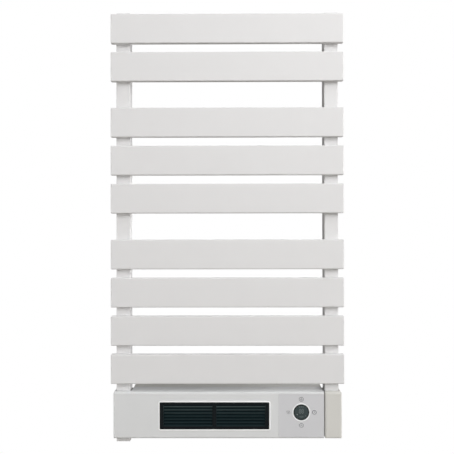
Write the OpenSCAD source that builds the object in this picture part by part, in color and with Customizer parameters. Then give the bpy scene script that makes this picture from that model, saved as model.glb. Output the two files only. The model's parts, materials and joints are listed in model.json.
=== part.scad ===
// Electric bathroom radiator: a towel rail of nine flat slats on two posts, with a fan heater box below.
// X runs right as seen from the front, Y runs back to the wall and Z up. The origin is on the wall,
// in the middle of the four wall screws. All sizes are in millimetres.

/* [Slats] */
// Length of a slat
slat_len = 550; // [530:5:700]
// Height of a slat's flat front
slat_h = 70; // [56:1:80]
// Thickness of a slat, front to back
slat_t = 12; // [10:0.5:16]
// Wall of a slat's flat tube
slat_wall = 1.5; // [1.2:0.1:2]
// Radius of a slat's long edges
slat_r = 2.8; // [2.5:0.1:4.5]
// Thickness of the caps that close slats and posts
cap_t = 4; // [3:0.1:6]
// Radius of a cap's outer edges
crown_r = 2.8; // [1:0.1:2.9]
// Gap between slats of one group
slat_gap = 20; // [12:1:30]
// Gap between two groups, where towels go over
towel_gap = 62; // [40:1:90]
// Length of slat that stands out past a post
slat_overhang = 11.2; // [8:0.1:20]
// Outer diameter of the nipples that join slats and posts
nipple_d = 14; // [10:0.5:18]

/* [Posts] */
// Width of a post, seen from the front
post_w = 33; // [30:0.5:40]
// Depth of a post, front to back
post_d = 30; // [28:0.5:44]
// Wall of a post's tube
post_wall = 1.5; // [1.2:0.1:2.5]
// Radius of a post's long edges
post_r = 2.2; // [2:0.1:6]
// Height of a post's top above the top slat
post_above = 6.5; // [4:0.5:20]
// Length of the left post that comes out below the box
post_below = 11.5; // [5:0.5:30]
// Height of the right post's lower end above the bottom of the box
post_short = 46.5; // [44:0.5:56]

/* [Wall brackets] */
// Distance from the wall to the front of the slats
wall_distance = 110; // [108:1:130]
// Diameter of the rosettes on the wall
rosette_d = 40; // [34:1:50]
// Thickness of a rosette's base
rosette_t = 4; // [3:0.5:6]
// Diameter of a wall screw's hole
wall_hole_d = 5.5; // [4:0.1:6.5]
// Diameter of the stem between post and wall
stem_d = 12; // [10:0.5:14]
// Wall of the barrel round the stem
barrel_wall = 5; // [4:0.5:7]
// Length of the barrel in front of the rosette's base
barrel_len = 30; // [24:1:34]
// Height of the upper brackets above the middle of the second slat
upper_bracket_rise = 21.5; // [0:0.5:25]
// Height of the lower brackets below the middle of the lowest slat
lower_bracket_drop = 29.5; // [0:0.5:30]

/* [Fan heater box] */
// Height of the box
box_h = 109.3; // [106:0.1:130]
// Gap between the lowest slat and the box
box_gap = 18.7; // [12:0.1:40]
// Step from a slat's end in to the side of the box
box_inset = 6; // [4:0.1:6.2]
// Wall of the mouldings
shell_t = 2.5; // [2:0.1:3]
// Radius of the box's outer edges
edge_r = 4; // [2:0.1:5]
// Gap between the back of the box and the wall
rear_clear = 8; // [5:0.5:12]
// Gap between the side of the body and a post
post_side_gap = 3.4; // [2:0.1:8]
// Open joint between the control panel and the right cover
reveal = 2; // [1:0.1:3]
// Width of one intake slot
intake_slot_w = 4; // [3:0.1:5]
// Step from one intake slot to the next
intake_pitch = 8; // [7:0.5:12]

/* [Outlet grille] */
// Width of the grille
grille_w = 257.4; // [240:0.1:262]
// Height of the grille
grille_h = 63; // [58:1:66]
// Plain border at the grille's left and right
grille_side = 8.5; // [6:0.1:12]
// Plain border above and below the louvres
grille_rim = 6.5; // [5:0.1:8]
// Width of the rib between the two bays
grille_rib = 9; // [5:0.5:12]
// Depth of the grille, front to back
grille_depth = 10; // [8:0.5:11]
// Width of the step round the grille's frame
grille_step = 2; // [1:0.1:3]
// Step from one louvre to the next
louvre_pitch = 7.4; // [7:0.1:9]
// Thickness of a louvre
louvre_t = 1.6; // [1.2:0.1:2]
// Slope of a louvre, down to the front, in degrees
louvre_tilt = 25; // [15:1:30]
// Width of the raised lip round the outlet
lip_w = 2.4; // [1.5:0.1:4]
// Height of the raised lip
lip_h = 0.5; // [0.3:0.1:1]
// Distance from the grille to the control panel
grille_to_panel = 22.3; // [18:0.1:26]

/* [Control panel] */
// Width of the control panel
panel_w = 106.7; // [104:0.1:112]
// Edge of the shell left above the panel
panel_top_edge = 4.3; // [2.6:0.1:5]
// Edge of the shell left below the panel
panel_bottom_edge = 4; // [2.6:0.1:5]
// Diameter of the round display
display_d = 37.4; // [34:0.1:40]
// Width of the ring round the display
ring_w = 2.6; // [2:0.1:2.8]
// Distance from the display's centre to a key's centre
key_circle_r = 30.5; // [29:0.1:32]
// Diameter of a key
key_d = 11; // [9:0.1:12]
// Travel of a key
key_travel = 0.8; // [0.5:0.1:0.9]

/* [Fan] */
// Diameter of the rotor over its blades
rotor_d = 50; // [44:1:52]
// Length of the rotor
rotor_len = 200; // [180:1:206]
// Number of blades
blade_count = 22; // [16:1:26]
// Thickness of a blade
blade_t = 0.8; // [0.6:0.1:1]
// Diameter of the shaft
shaft_d = 6; // [5:0.5:8]
// Diameter of the motor
motor_d = 44; // [36:1:48]
// Length of the motor
motor_len = 40; // [30:1:44]

/* [Heating elements] */
// Length of the rod in the right post
rod_len = 400; // [200:10:600]
// Diameter of the rod
rod_d = 10; // [8:0.5:12]
// Depth of the air heater, front to back
ptc_depth = 12; // [10:0.5:14]
// Height of one heating bar
ptc_bar_h = 5; // [4:0.1:6]
// Step from one fold of the fins to the next
fin_pitch = 5; // [4:0.5:8]

/* [Hidden] */
$fn = 64;

white_steel = [0.90, 0.90, 0.90];
white_plastic = [0.86, 0.86, 0.85];
panel_grey = [0.80, 0.80, 0.82];
black_plastic = [0.10, 0.12, 0.13];
bare_steel = [0.66, 0.67, 0.68];
board_green = [0.10, 0.35, 0.18];

// Clearances: a fit between round pieces, a sliding fit, and a loose fit between mouldings
fit = 0.05;
slide = 0.3;
loose = 0.6;
// How far a cut runs past the face that it goes through
past = 1;

// Rail. Slats are counted from the top, and a towel gap follows slats 2 and 5.
slat_count = 9;
bracket_slat = 2;
function towel_gaps_above(i) = (i > 2 ? 1 : 0) + (i > 5 ? 1 : 0);
function slat_drop(i) = (i - 1) * (slat_h + slat_gap) + (towel_gap - slat_gap) * towel_gaps_above(i);
upper_bracket_fall = slat_drop(bracket_slat) - upper_bracket_rise;
lower_bracket_fall = slat_drop(slat_count) + lower_bracket_drop;
bracket_z = (lower_bracket_fall - upper_bracket_fall) / 2;
function slat_z(i) = (upper_bracket_fall + lower_bracket_fall) / 2 - slat_drop(i);

slat_front_y = -wall_distance;
slat_back_y = slat_front_y + slat_t;
slat_mid_y = (slat_front_y + slat_back_y) / 2;
post_front_y = slat_back_y;
post_back_y = post_front_y + post_d;
post_mid_y = (post_front_y + post_back_y) / 2;
post_x = slat_len / 2 - slat_overhang - post_w / 2;
post_inner_r = max(post_r - post_wall, 0.5);

// Box
box_top = slat_z(slat_count) - slat_h / 2 - box_gap;
box_bottom = box_top - box_h;
box_z = (box_top + box_bottom) / 2;
box_half_w = slat_len / 2 - box_inset;
box_front_y = slat_front_y;
box_inner_y = box_front_y + shell_t;
box_back_y = -rear_clear;
seam_y = post_back_y;
flange_y = seam_y + shell_t + 0.5;
body_half_w = post_x - post_w / 2 - post_side_gap;
body_inner_w = body_half_w - shell_t;
body_half_h = box_h / 2;
inner_half_h = body_half_h - shell_t;
panel_right = body_half_w - 0.4;
cover_left = panel_right + reveal;
post_slot_y = post_front_y - loose;
post_top = slat_z(1) + slat_h / 2 + post_above;
left_post_bottom = box_bottom - post_below;
right_post_bottom = box_bottom + post_short;

// Grille and control panel
panel_left = panel_right - panel_w;
panel_top = box_top - panel_top_edge;
panel_bottom = box_bottom + panel_bottom_edge;
panel_gap = 0.2;
panel_r = 2;
ledge = 4;
ledge_t = 2;
grille_right = panel_left - grille_to_panel;
grille_x = grille_right - grille_w / 2;
grille_z = box_z - 1;
grille_flange = 4;
grille_flange_t = 2;
grille_step_t = 5;
grille_back_y = box_front_y + grille_depth;
louvre_count = floor((grille_h - 2 * grille_rim) / louvre_pitch) + 1;
lens_flange = 1.2;
lens_flange_t = 1.5;
ring_proud = 0.4;
key_proud = 0.3;
key_flange = 1.3;
key_flange_t = 1.2;
key_stem_d = 4;
key_stem_len = 2.9;
key_edge_clear = 1.7;
display_x = (panel_left + panel_right) / 2;
display_z = panel_top - ledge - key_edge_clear - key_circle_r - key_d / 2 - key_flange;
ring_d = display_d + 2 * ring_w;
lens_d = ring_d + 2 * lens_flange;
board_t = 1.6;
board_r = 2;
display_board_gap = 6.5;
display_board_y = box_inner_y + display_board_gap;
display_board_edge = 1;
display_board_w = 2 * (key_circle_r + display_board_edge) + key_d;

key_stem_end_y = box_inner_y + slide + key_stem_len;

// Case screws, three above and three below
screw_d = 3;
screw_head_d = 6;
screw_head_t = 2;
screw_len = 13;
short_screw_len = 4.5;
boss_d = 8;
well_d = screw_head_d + loose;
well_wall = 2;
well_edge = 0.5;
boss_inset = 11;
case_screw_x = [-(body_inner_w - boss_inset), grille_x, body_inner_w - boss_inset];
case_screw_z = body_half_h - well_edge - well_wall - well_d / 2;
flange_screw_x = grille_w / 2 + grille_flange + boss_d / 2 + 1;
flange_screw_z = grille_h / 2 - 5;
cover_screw_x = 8.5;
cover_screw_z = box_bottom + 10;

// Fan: the rotor's axis runs along X
scroll_t = 2;
scroll_rise = 2;
scroll_gap = 4;
scroll_r = rotor_d / 2 + scroll_gap;
fan_back_gap = 1.3;
fan_y = box_back_y - shell_t - fan_back_gap - scroll_t - scroll_r;
fan_z = grille_z;
duct_half_h = scroll_r + scroll_rise;
disc_t = 1.5;
disc_over = 0.5;
rotor_end_gap = 3;
fan_half_len = rotor_len / 2 + rotor_end_gap;
plate_t = 2.5;
fan_flange_y = box_inner_y + grille_flange_t;
mouth_back_y = grille_back_y + slide;
mouth_half_w = grille_w / 2 + slide;
mouth_half_h = grille_h / 2 + slide;
bush_seat_d = 16;
bush_d = 10;
bush_out = 4;
bracket_t = 2;
motor_right = grille_x - fan_half_len - plate_t - bracket_t;
motor_left = motor_right - motor_len;
shaft_left = motor_left - 4;
shaft_right = grille_x + fan_half_len + plate_t + bush_out + 2;

// Air heater
ptc_front_y = grille_back_y + 3;
ptc_half_w = fan_half_len - slide;
ptc_half_h = duct_half_h - slide;
ptc_rim = 5;
ptc_rows = 4;
ptc_bars_n = ptc_rows - 1;
fin_row_h = (2 * (ptc_half_h - ptc_rim) - ptc_bars_n * ptc_bar_h) / ptc_rows;
ptc_inner_w = ptc_half_w - ptc_rim;

// Power board
power_board_x = display_x;
power_board_w = 76;
power_board_h = 72;
board_post_len = 26;
power_board_y = box_back_y - shell_t - board_post_len;
board_post_inset = 5;
gland_x = display_x + 20;
gland_y = box_back_y - 22;
gland_d = 14;
gland_in = 6;
gland_out = 8;
cable_d = 9;

// Immersion heater
neck_d = 20;
hex_af = 24;
hex_h = 10;
terminal_h = 18;

// 2D helpers. A corner list holds [x, y] signs of the corners to round.
ALL_CORNERS = [[-1, -1], [1, -1], [1, 1], [-1, 1]];
module corner_waste(r) {
  difference() {
    translate([-past, -past]) square(r + past);
    translate([r, r]) circle(r = r);
  }
}
module panel_2d(x0, y0, x1, y1, r, corners = ALL_CORNERS) {
  difference() {
    translate([x0, y0]) square([x1 - x0, y1 - y0]);
    for (c = corners)
      translate([c[0] < 0 ? x0 : x1, c[1] < 0 ? y0 : y1])
        mirror([c[0] > 0 ? 1 : 0, 0]) mirror([0, c[1] > 0 ? 1 : 0]) corner_waste(r);
  }
}
module tube_2d(w, h, r) {
  panel_2d(-w / 2, -h / 2, w / 2, h / 2, r);
}
module slot_2d(w, h) {
  square([w, h - w], center = true);
  for (s = [-1, 1]) translate([0, s * (h - w) / 2]) circle(d = w);
}

// Extrusions along each axis. The outline's axes are Y and Z, X and Z, and X and Y.
module along_x(x0, x1) {
  translate([x0, 0, 0]) rotate([90, 0, 90]) linear_extrude(x1 - x0) children();
}
module along_y(y0, y1) {
  translate([0, y1, 0]) rotate([90, 0, 0]) linear_extrude(y1 - y0) children();
}
module along_z(z0, z1) {
  translate([0, 0, z0]) linear_extrude(z1 - z0) children();
}
module rod_x(d, x0, x1) {
  translate([x0, 0, 0]) rotate([0, 90, 0]) cylinder(d = d, h = x1 - x0);
}
module rod_y(d, y0, y1) {
  translate([0, y0, 0]) rotate([-90, 0, 0]) cylinder(d = d, h = y1 - y0);
}
module at_slat_joints(i) {
  for (s = [-1, 1]) translate([s * post_x, 0, slat_z(i)]) children();
}
module at_brackets() {
  for (s = [-1, 1], t = [-1, 1]) translate([s * post_x, 0, t * bracket_z]) children();
}

// Posts
module post(x, bottom) {
  color(white_steel) difference() {
    translate([x, post_mid_y, 0]) along_z(bottom, post_top - cap_t) tube_2d(post_w, post_d, post_r);
    translate([x, post_mid_y, 0]) along_z(bottom - past, post_top)
      tube_2d(post_w - 2 * post_wall, post_d - 2 * post_wall, post_inner_r);
    for (i = [1 : slat_count])
      translate([x, 0, slat_z(i)]) rod_y(nipple_d + 2 * fit, post_front_y - past, post_front_y + post_wall + past);
  }
}
module left_post() post(-post_x, left_post_bottom + cap_t);
module right_post() post(post_x, right_post_bottom);

// A cap's crown is its plan outline cut by an arch from the front and one from the side
plug_depth = 8;
module crown(w, d, r) {
  top_corners = [[-1, 1], [1, 1]];
  intersection() {
    along_z(0, cap_t) tube_2d(w, d, r);
    along_y(-d, d) panel_2d(-w / 2, -cap_t, w / 2, cap_t, crown_r, top_corners);
    along_x(-w, w) panel_2d(-d / 2, -cap_t, d / 2, cap_t, crown_r, top_corners);
  }
}
module post_cap() {
  crown(post_w, post_d, post_r);
  along_z(-plug_depth, cap_t / 2)
    tube_2d(post_w - 2 * post_wall - 2 * fit, post_d - 2 * post_wall - 2 * fit, post_inner_r);
}
module post_top_caps() {
  color(white_steel)
    for (s = [-1, 1]) translate([s * post_x, post_mid_y, post_top - cap_t]) post_cap();
}
module left_post_foot_cap() {
  color(white_steel)
    translate([-post_x, post_mid_y, left_post_bottom + cap_t]) mirror([0, 0, 1]) post_cap();
}

// Slats: flat tubes with an end cap at each end and a nipple into each post
module slat(i) {
  color(white_steel) difference() {
    translate([0, slat_mid_y, slat_z(i)]) along_x(-slat_len / 2 + cap_t, slat_len / 2 - cap_t)
      tube_2d(slat_t, slat_h, slat_r);
    translate([0, slat_mid_y, slat_z(i)]) along_x(-slat_len / 2, slat_len / 2)
      tube_2d(slat_t - 2 * slat_wall, slat_h - 2 * slat_wall, slat_r - slat_wall);
    at_slat_joints(i) rod_y(nipple_d + 2 * fit, slat_back_y - slat_wall - past, slat_back_y + past);
  }
}
module slat_end_caps(side) {
  color(white_steel) for (i = [1 : slat_count])
    translate([side * (slat_len / 2 - cap_t), slat_mid_y, slat_z(i)])
      rotate([0, side * 90, 0]) crown(slat_h, slat_t, slat_r);
}
module slat_nipples() {
  color(bare_steel) for (i = [1 : slat_count]) at_slat_joints(i) difference() {
    rod_y(nipple_d, slat_back_y - slat_wall - past, post_front_y + post_wall + past);
    rod_y(nipple_d - 3, slat_back_y - slat_wall - 2 * past, post_front_y + post_wall + 2 * past);
  }
}

// Wall brackets: a lug welded to the post, a stem in the lug and a socket screwed to the wall
lug_d = 18;
lug_len = 12;
lug_y = post_back_y + lug_len;
lug_hole_depth = 9;
lug_thread_d = 8;
socket_floor = 4;
stem_end_gap = 4;
socket_floor_y = -rosette_t - socket_floor;
stem_end_y = socket_floor_y - stem_end_gap;
barrel_front_y = -rosette_t - barrel_len;
grub_y = (barrel_front_y + stem_end_y) / 2;
grub_d = 4;
barrel_d = stem_d + 2 * barrel_wall;
rosette_edge_r = 2.5;
barrel_edge_r = 1.5;
barrel_foot_r = 3;
// Half section of a socket: radius along X, distance from the wall along Y
module socket_profile_2d() {
  difference() {
    union() {
      square([rosette_d / 2, rosette_t]);
      square([barrel_d / 2, rosette_t + barrel_len]);
      translate([barrel_d / 2, rosette_t]) difference() {
        translate([-past, -past]) square(barrel_foot_r + past);
        translate([barrel_foot_r, barrel_foot_r]) circle(r = barrel_foot_r);
      }
    }
    translate([rosette_d / 2, rosette_t]) rotate(180) corner_waste(rosette_edge_r);
    translate([barrel_d / 2, rosette_t + barrel_len]) rotate(180) corner_waste(barrel_edge_r);
  }
}
module post_lugs() {
  color(white_steel) at_brackets() difference() {
    rod_y(lug_d, post_back_y, lug_y);
    rod_y(lug_thread_d, lug_y - lug_hole_depth, lug_y + past);
  }
}
module bracket_stems() {
  color(white_steel) at_brackets() {
    rod_y(stem_d, lug_y, stem_end_y);
    rod_y(lug_thread_d - 2 * fit, lug_y - lug_hole_depth + past, lug_y + past);
  }
}
module bracket_sockets() {
  color(white_steel) at_brackets() difference() {
    rotate([90, 0, 0]) rotate_extrude() socket_profile_2d();
    rod_y(stem_d + 2 * fit, barrel_front_y - past, socket_floor_y);
    rod_y(wall_hole_d, socket_floor_y - past, past);
    translate([0, grub_y, -barrel_d]) cylinder(d = grub_d + 2 * fit, h = barrel_d);
  }
}
module bracket_grub_screws() {
  grub_len = barrel_wall + 0.5;
  color(bare_steel) at_brackets() translate([0, grub_y, -stem_d / 2 - fit - grub_len]) difference() {
    cylinder(d = grub_d, h = grub_len);
    translate([0, 0, -past]) cylinder(d = 2.3, h = past + 2, $fn = 6);
  }
}

// The box's back flanges go on studs that are welded to the posts
stud_d = 5;
stud_len = 11;
stud_drop = [16, 46];
nut_af = 8;
nut_t = 4;
module at_studs() {
  for (s = [-1, 1], d = stud_drop) translate([s * post_x, 0, box_top - d]) children();
}
module weld_studs() {
  color(bare_steel) at_studs() rod_y(stud_d, post_back_y, post_back_y + stud_len);
}
module stud_nuts() {
  color(bare_steel) at_studs() difference() {
    translate([0, flange_y, 0]) rotate([-90, 0, 0]) cylinder(d = nut_af / cos(30), h = nut_t, $fn = 6);
    rod_y(stud_d + 2 * fit, flange_y - past, flange_y + nut_t + past);
  }
}

// Box mouldings
module at_case_screws() {
  for (x = case_screw_x, s = [-1, 1]) translate([x, 0, box_z + s * case_screw_z]) children();
}
module at_flange_screws() {
  for (s = [-1, 1], t = [-1, 1])
    translate([grille_x + s * flange_screw_x, 0, grille_z + t * flange_screw_z]) children();
}
module at_cover_screws() {
  for (s = [-1, 1]) translate([post_x + s * cover_screw_x, 0, cover_screw_z]) children();
}
module box_side_profile(y0, y1, corners) {
  panel_2d(y0, box_bottom, y1, box_top, edge_r, corners);
}
module front_shell() {
  wing_in = box_half_w - shell_t;
  left_edges = [[-1, -1], [-1, 1]];
  color(white_plastic) difference() {
    union() {
      difference() {
        intersection() {
          along_y(box_front_y, flange_y)
            panel_2d(-box_half_w, box_bottom, panel_right, box_top, edge_r, left_edges);
          along_x(-box_half_w - past, panel_right + past)
            box_side_profile(box_front_y, flange_y + edge_r + past, left_edges);
          along_z(box_bottom - past, box_top + past)
            panel_2d(-box_half_w, box_front_y, panel_right, flange_y, edge_r, [[-1, -1]]);
        }
        // Inside of the box, open at the back
        translate([-body_inner_w, box_inner_y, box_z - inner_half_h])
          cube([body_inner_w + panel_right - shell_t, wall_distance, 2 * inner_half_h]);
        // The left post's slot and the room in front of it
        translate([-wing_in, post_slot_y, box_bottom - past])
          cube([wing_in - body_half_w, wall_distance, box_h + 2 * past]);
        translate([-wing_in, box_inner_y, box_z - inner_half_h])
          cube([wing_in - body_half_w, wall_distance, 2 * inner_half_h]);
        // The seam with the rear shell
        translate([-body_half_w - past, seam_y, box_bottom - past])
          cube([2 * body_half_w + 2 * past, wall_distance, box_h + 2 * past]);
      }
      // Lip round the outlet
      along_y(box_front_y - lip_h, box_front_y + past) translate([grille_x, grille_z])
        tube_2d(grille_w + 2 * lip_w, grille_h + 2 * lip_w, panel_r + lip_w);
      // Ledge behind the control panel's edge
      translate([panel_left - ledge_t, box_inner_y - past, box_z - inner_half_h - past])
        cube([ledge + ledge_t, ledge_t + past, 2 * inner_half_h + 2 * past]);
      for (z = [panel_bottom, panel_top - ledge])
        translate([panel_left, box_inner_y, z])
          cube([panel_w - shell_t / 2, ledge_t, ledge]);
      at_case_screws() rod_y(boss_d, box_inner_y + ledge_t / 2, seam_y);
      at_flange_screws() rod_y(boss_d, box_inner_y - past, fan_flange_y);
    }
    // Seat of the control panel
    translate([panel_left - panel_gap, box_front_y - past, panel_bottom - panel_gap])
      cube([panel_w + 2 * past, shell_t + past, panel_top - panel_bottom + 2 * panel_gap]);
    // Outlet
    along_y(box_front_y - past, box_inner_y + past)
      translate([grille_x, grille_z]) tube_2d(grille_w + 2 * panel_gap, grille_h + 2 * panel_gap, panel_r);
    at_case_screws() rod_y(screw_d - 2 * fit, seam_y - screw_len, seam_y + past);
    at_flange_screws() rod_y(screw_d - 2 * fit, box_inner_y - 1, fan_flange_y + past);
  }
}
module intake_slots(length) {
  count = floor((2 * fan_half_len) / intake_pitch);
  for (k = [0 : count - 1])
    translate([grille_x + (k - (count - 1) / 2) * intake_pitch, 0]) slot_2d(intake_slot_w, length);
}
module rear_shell() {
  rear_edges = [[1, -1], [1, 1]];
  rear_corners = [[-1, 1], [1, 1]];
  color(white_plastic) difference() {
    union() {
      difference() {
        intersection() {
          translate([-body_half_w, seam_y, box_bottom])
            cube([2 * body_half_w, box_back_y - seam_y, box_h]);
          along_x(-body_half_w - past, body_half_w + past)
            box_side_profile(seam_y - past, box_back_y, rear_edges);
          along_z(box_bottom - past, box_top + past)
            panel_2d(-body_half_w, seam_y, body_half_w, box_back_y, edge_r, rear_corners);
        }
        translate([-body_inner_w, seam_y - past, box_z - inner_half_h])
          cube([2 * body_inner_w, box_back_y - shell_t - seam_y + past, 2 * inner_half_h]);
      }
      // Flanges behind the posts
      for (s = [-1, 1])
        translate([s * (body_half_w - shell_t / 2), seam_y, box_bottom + shell_t])
          mirror([s < 0 ? 1 : 0, 0, 0])
            cube([box_half_w - shell_t - slide - body_half_w + shell_t / 2, flange_y - seam_y, box_h - 2 * shell_t]);
      at_case_screws() rod_y(well_d + 2 * well_wall, seam_y, box_back_y - shell_t / 2);
      at_board_posts() rod_y(boss_d, power_board_y + board_t, box_back_y - shell_t / 2);
    }
    at_case_screws() {
      rod_y(well_d, seam_y + shell_t, box_back_y + past);
      rod_y(screw_d + loose, seam_y - past, seam_y + shell_t + past);
    }
    at_studs() rod_y(stud_d + loose, seam_y - past, flange_y + past);
    at_cover_screws() rod_y(screw_d + loose, seam_y - past, flange_y + past);
    // Intake slots in the back and in the bottom
    along_y(box_back_y - shell_t - past, box_back_y + past)
      translate([0, box_z - inner_half_h / 2]) intake_slots(inner_half_h - 12);
    along_z(box_bottom - past, box_bottom + shell_t + past)
      translate([0, (seam_y + box_back_y) / 2]) intake_slots(box_back_y - seam_y - 16);
    translate([gland_x, gland_y, box_bottom - past]) cylinder(d = gland_d + 2 * fit, h = shell_t + 2 * past);
  }
}
module right_cover() {
  color(white_plastic) difference() {
    union() {
      difference() {
        intersection() {
          along_y(box_front_y, flange_y) panel_2d(cover_left, box_bottom, box_half_w, box_top, edge_r);
          along_x(cover_left - past, box_half_w + past)
            box_side_profile(box_front_y, flange_y + edge_r + past, [[-1, -1], [-1, 1]]);
          along_z(box_bottom - past, box_top + past)
            panel_2d(cover_left, box_front_y, box_half_w, flange_y, edge_r, [[-1, -1], [1, -1]]);
        }
        // Hollow inside, open at the back and, behind the front wall's return, at the left
        translate([cover_left + shell_t, box_inner_y, box_z - inner_half_h])
          cube([box_half_w - cover_left - 2 * shell_t, wall_distance, 2 * inner_half_h]);
        translate([cover_left - past, post_slot_y, box_bottom + shell_t])
          cube([box_half_w - cover_left - shell_t + past, wall_distance, box_h]);
        // The rear shell's flange
        translate([cover_left - past, seam_y, box_bottom - past])
          cube([box_half_w - cover_left - shell_t + past, wall_distance, box_h + 2 * past]);
      }
      at_cover_screws() {
        rod_y(boss_d - 1, box_inner_y - past, seam_y);
        translate([-0.8, box_inner_y - past, box_bottom - cover_screw_z + shell_t / 2])
          cube([1.6, seam_y - box_inner_y + past, cover_screw_z - box_bottom - shell_t / 2]);
      }
    }
    at_cover_screws() rod_y(screw_d - 2 * fit, seam_y - screw_len, seam_y + past);
  }
}
module screw(head_y, shank_len) {
  translate([0, head_y, 0]) difference() {
    union() {
      rod_y(screw_head_d, 0, screw_head_t);
      rod_y(screw_d - 4 * fit, -shank_len, past);
    }
    translate([0, screw_head_t + past, 0]) {
      for (a = [0, 90]) rotate([0, a, 0]) cube([3.2, 2 * (past + 1), 0.8], center = true);
    }
  }
}
module case_screws() {
  color(bare_steel) at_case_screws() screw(seam_y + shell_t, screw_len);
}
module cover_screws() {
  color(bare_steel) at_cover_screws() screw(flange_y, screw_len);
}
module grille_screws() {
  color(bare_steel) at_flange_screws() screw(fan_flange_y + scroll_t, short_screw_len);
}

// Outlet grille: a frame, a middle rib and two bays of sloping louvres
module outlet_grille() {
  bay_w = grille_w / 2 - grille_side - grille_rib / 2;
  louvre_len = (grille_depth - 1.2) / cos(louvre_tilt) - louvre_t * tan(louvre_tilt);
  color(black_plastic) translate([grille_x, 0, grille_z]) {
    for (step = [0, grille_step])
      along_y(box_front_y + (step > 0 ? 0 : grille_step_t), grille_back_y) difference() {
        tube_2d(grille_w - 2 * step, grille_h - 2 * step, panel_r - panel_gap);
        for (s = [-1, 1]) translate([s * (grille_rib + bay_w) / 2, 0])
          tube_2d(bay_w, grille_h - 2 * grille_rim, 1.5);
      }
    along_y(box_inner_y, fan_flange_y) difference() {
      tube_2d(grille_w + 2 * grille_flange, grille_h + 2 * grille_flange, panel_r + grille_flange);
      tube_2d(grille_w - grille_side, grille_h - grille_rim, panel_r);
    }
    for (s = [-1, 1], k = [0 : louvre_count - 1])
      translate([s * (grille_rib + bay_w) / 2, (box_front_y + grille_back_y) / 2,
                 (k - (louvre_count - 1) / 2) * louvre_pitch])
        along_x(-bay_w / 2 - past, bay_w / 2 + past) rotate(louvre_tilt)
          panel_2d(-louvre_len / 2, -louvre_t / 2, louvre_len / 2, louvre_t / 2, louvre_t / 2 - 0.1, [[-1, -1], [-1, 1]]);
  }
}

// Control panel with its display and keys
key_angles = [90, 0, 180, 270];
module at_key(n) {
  translate([display_x + key_circle_r * cos(key_angles[n]), 0, display_z + key_circle_r * sin(key_angles[n])])
    children();
}
module at_panel_posts() {
  for (a = [45 : 90 : 315])
    translate([display_x + display_board_w / 2 * sign(cos(a)) - 4 * sign(cos(a)), 0,
               display_z + display_board_w / 2 * sign(sin(a)) - 4 * sign(sin(a))]) children();
}
module control_panel() {
  color(panel_grey) difference() {
    union() {
      along_y(box_front_y, box_inner_y) panel_2d(panel_left, panel_bottom, panel_right, panel_top, panel_r, []);
      at_panel_posts() rod_y(6, box_inner_y - past, display_board_y);
      translate([display_x, 0, display_z])
        rod_y(lens_d + 4, box_inner_y - past, box_inner_y + lens_flange_t + 1);
    }
    translate([display_x, 0, display_z]) {
      rod_y(ring_d + 2 * fit, box_front_y - past, display_board_y);
      rod_y(lens_d + 2 * panel_gap, box_inner_y, display_board_y);
    }
    for (n = [0 : 3]) at_key(n) rod_y(key_d + 2 * slide, box_front_y - past, box_inner_y + past);
    for (n = [0 : 3]) at_key(n) rod_y(key_d + 2 * key_flange + 2 * slide, box_inner_y, display_board_y);
    at_panel_posts() rod_y(2, box_inner_y, display_board_y + past);
  }
}
module display_ring() {
  color([0.93, 0.93, 0.93]) translate([display_x, 0, display_z]) difference() {
    rod_y(ring_d, box_front_y - ring_proud, box_inner_y);
    rod_y(display_d + 2 * fit, box_front_y - past, box_inner_y + past);
  }
}
module display_lens() {
  color([0.16, 0.20, 0.19]) translate([display_x, 0, display_z]) {
    rod_y(display_d, box_front_y, box_inner_y + lens_flange_t / 2);
    rod_y(lens_d, box_inner_y, box_inner_y + lens_flange_t);
  }
}
module display_module() {
  color([0.30, 0.34, 0.32]) translate([display_x, 0, display_z]) {
    rod_y(display_d - 4, box_inner_y + lens_flange_t, display_board_y);
  }
}
module display_board() {
  color(board_green) difference() {
    translate([display_x, 0, display_z])
      along_y(display_board_y, display_board_y + board_t) tube_2d(display_board_w, display_board_w, board_r);
    at_panel_posts() rod_y(2.4, display_board_y - past, display_board_y + board_t + past);
  }
}
module key_switches() {
  switch_h = 1.6;
  button_h = display_board_y - key_stem_end_y - key_travel - 0.1;
  color(black_plastic) for (n = [0 : 3]) at_key(n) {
    translate([-3, display_board_y - switch_h, -3]) cube([6, switch_h, 6]);
    rod_y(3.4, display_board_y - button_h, display_board_y - switch_h / 2);
  }
}
module key(n) {
  color([0.88, 0.88, 0.88]) at_key(n) {
    rod_y(key_d, box_front_y - key_proud, box_inner_y + slide + past / 2);
    rod_y(key_d + 2 * key_flange, box_inner_y + slide, box_inner_y + slide + key_flange_t);
    rod_y(key_stem_d, box_inner_y + slide + past / 2, key_stem_end_y);
  }
}

// Fan: housing, rotor, shaft, motor and bearing
module in_fan() {
  translate([grille_x, fan_y, fan_z]) children();
}
module scroll_2d() {
  front = mouth_back_y - fan_y;
  r_out = scroll_r + scroll_t;
  // Upper wall, from the outlet back to above the rotor
  translate([front, duct_half_h]) square([-front, scroll_t]);
  // Guide wall round the back of the rotor
  translate([0, scroll_rise]) difference() {
    circle(r = r_out);
    circle(r = scroll_r);
    translate([-2 * r_out, -2 * r_out]) square([2 * r_out, 4 * r_out]);
    rotate(-42) translate([-2 * r_out, -3 * r_out]) square([4 * r_out, 3 * r_out]);
  }
  // Lower wall and the lip that it turns up beside the rotor
  lip_y = -(rotor_d / 2 + 4) * cos(54);
  lip_z = -(rotor_d / 2 + 4) * sin(54);
  translate([front, -duct_half_h - scroll_t]) square([lip_y - front + 1.8, scroll_t]);
  translate([lip_y, lip_z]) circle(r = 1.8);
  translate([lip_y - 1.8, -duct_half_h - scroll_t / 2]) square([3.6, lip_z + duct_half_h + scroll_t / 2]);
}
module fan_end_plate_2d() {
  panel_2d(mouth_back_y - fan_y, -duct_half_h - scroll_t, scroll_r + scroll_t, duct_half_h + scroll_t, 8,
           [[1, -1], [1, 1]]);
}
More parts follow.
